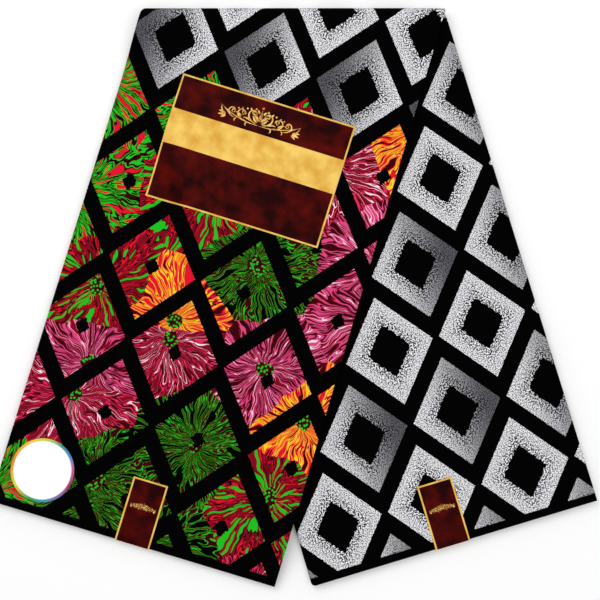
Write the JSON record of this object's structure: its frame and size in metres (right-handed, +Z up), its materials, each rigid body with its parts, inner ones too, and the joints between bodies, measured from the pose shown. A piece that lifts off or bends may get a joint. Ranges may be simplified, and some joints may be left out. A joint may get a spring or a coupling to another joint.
{
  "type": "folded african wax print fabric",
  "caption": "Long length of printed cotton folded to a flat many-layered band, turned over once so that its two legs lie as an upside-down V, with plain paper labels.",
  "frame": {"origin": "under the middle of the box round the folded cloth, on the surface it lies on", "axes": "+Z up, square to the surface; +Y towards the turned edge; +X from the front leg's side to the back leg's side"},
  "size_m": [0.622, 0.5986, 0.0201],
  "materials": {
    "printed_cotton": "printed black cotton with a faint sheen",
    "layered_edges": "edges of printed cotton layers",
    "maroon_paper": "coated paper, satin",
    "white_paper": "coated paper, satin"
  },
  "bodies": {
    "root": {"front_leg_cloth": "printed_cotton", "back_leg_cloth": "printed_cotton", "hidden_layers": "layered_edges", "face_label": "maroon_paper", "front_end_label": "maroon_paper", "back_end_label": "maroon_paper", "round_sticker": "white_paper"}
  },
  "joints": []
}
